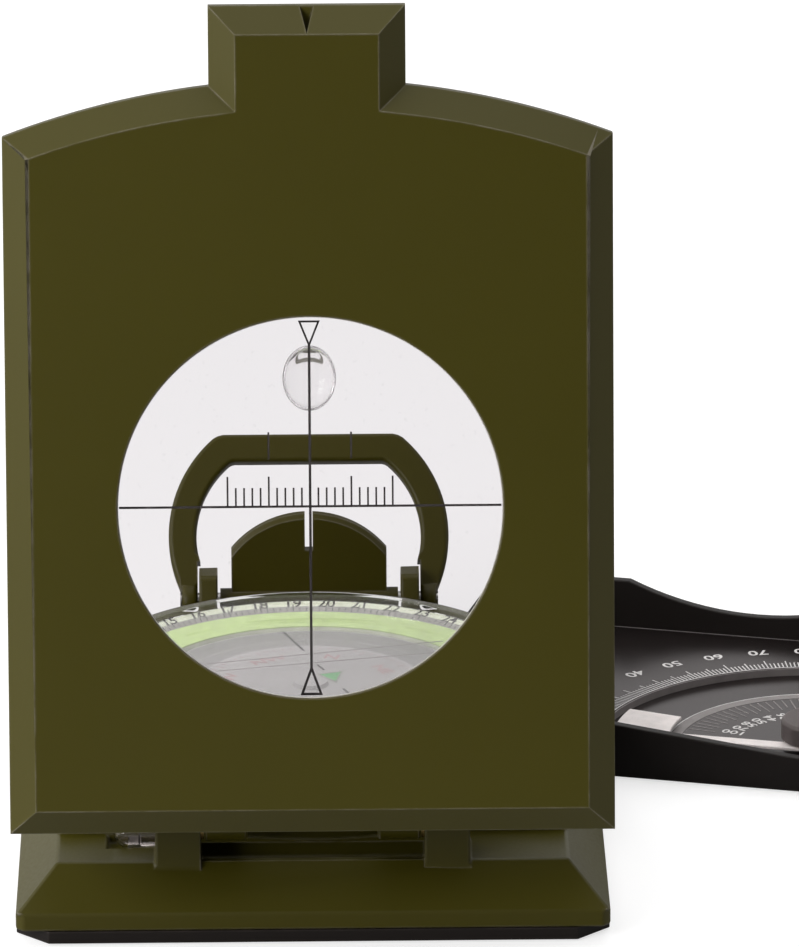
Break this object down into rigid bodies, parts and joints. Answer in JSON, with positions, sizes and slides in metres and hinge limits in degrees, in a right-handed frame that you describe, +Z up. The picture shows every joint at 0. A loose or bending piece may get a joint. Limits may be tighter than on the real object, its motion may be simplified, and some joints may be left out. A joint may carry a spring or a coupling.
{
  "type": "magnetic compass",
  "caption": "Pocket sighting compass with a hinged windowed lid, a turning dial, a folding rear sight and thumb ring, and a clinometer in a swing-out tray.",
  "frame": {"origin": "centre of the bottom plate's flat face, under the front block", "axes": "+Z up from the face that it rests on, +Y from the lid's hinge toward the rear sight, +X to the right, on the tray's side"},
  "size_m": [0.1113, 0.1118, 0.1031],
  "materials": {
    "olive_paint": "satin enamel",
    "black_paint": "satin enamel",
    "scale_black": "satin, printed in white",
    "bezel_black": "satin enamel",
    "steel": "turned",
    "bowl_metal": "matt",
    "brass": "turned",
    "glass": "polished",
    "vial_glass": "polished",
    "clear_plastic": "polished",
    "dial_white": "matt, printed in black",
    "luminous_green": "matt, luminous",
    "card_grey": "matt, printed",
    "white_paint": "matt"
  },
  "bodies": {
    "base": {"base_body": "olive_paint", "bottom_plate": "black_paint", "bottom_plate_screws": "steel", "capsule_bowl": "bowl_metal", "pivot_post": "brass", "level_vial": "vial_glass", "vial_cradle": "steel", "lid_hinge_pins": "steel", "lid_hinge_washers": "brass", "rear_hinge_pin": "steel", "tray_rivet": "steel", "tray_washer": "steel", "bezel_retaining_ring": "steel"},
    "bezel": {"bezel_ring": "bezel_black", "dial_cover": "clear_plastic", "azimuth_ring": "dial_white", "luminous_ring": "luminous_green"},
    "card": {"compass_card": "card_grey", "card_magnet": "steel", "jewel_cup": "brass"},
    "lid": {"lid_shell": "olive_paint", "lid_window": "glass", "window_retainer": "black_paint", "reading_lens": "glass"},
    "sight": {"sight_plate": "olive_paint"},
    "ring": {"thumb_ring": "olive_paint"},
    "tray": {"tray_shell": "black_paint", "tray_bush": "brass", "clinometer_plate": "scale_black", "inner_scale_disc": "scale_black", "pendulum_pin": "steel", "hub_cap": "scale_black"},
    "clinometer_pendulum": {"pendulum": "white_paint", "pendulum_weight": "brass"}
  },
  "joints": [
    {"name": "lid_hinge", "type": "hinge", "parent": "base", "child": "lid", "pos_m": [0, -0.0098, 0.0119], "axis": [1, 0, 0], "range_deg": [-80, 20]},
    {"name": "bezel_turn", "type": "hinge", "parent": "base", "child": "bezel", "pos_m": [0, 0.022, 0.016], "axis": [0, 0, 1], "continuous": true},
    {"name": "card_turn", "type": "hinge", "parent": "base", "child": "card", "pos_m": [0, 0.022, 0.0139], "axis": [0, 0, 1], "continuous": true},
    {"name": "sight_hinge", "type": "hinge", "parent": "base", "child": "sight", "pos_m": [0, 0.0642, 0.011], "axis": [1, 0, 0], "range_deg": [0, 90]},
    {"name": "thumb_ring_hinge", "type": "hinge", "parent": "base", "child": "ring", "pos_m": [0, 0.0642, 0.011], "axis": [-1, 0, 0], "range_deg": [0, 55]},
    {"name": "tray_swing", "type": "hinge", "parent": "base", "child": "tray", "pos_m": [0.0219, 0.05001, 0.004], "axis": [0, 0, 1], "range_deg": [0, 195]},
    {"name": "pendulum_swing", "type": "hinge", "parent": "tray", "child": "clinometer_pendulum", "pos_m": [0.05733, 0.03772, 0.003], "axis": [0, 0, -1], "range_deg": [-7, 100]}
  ]
}
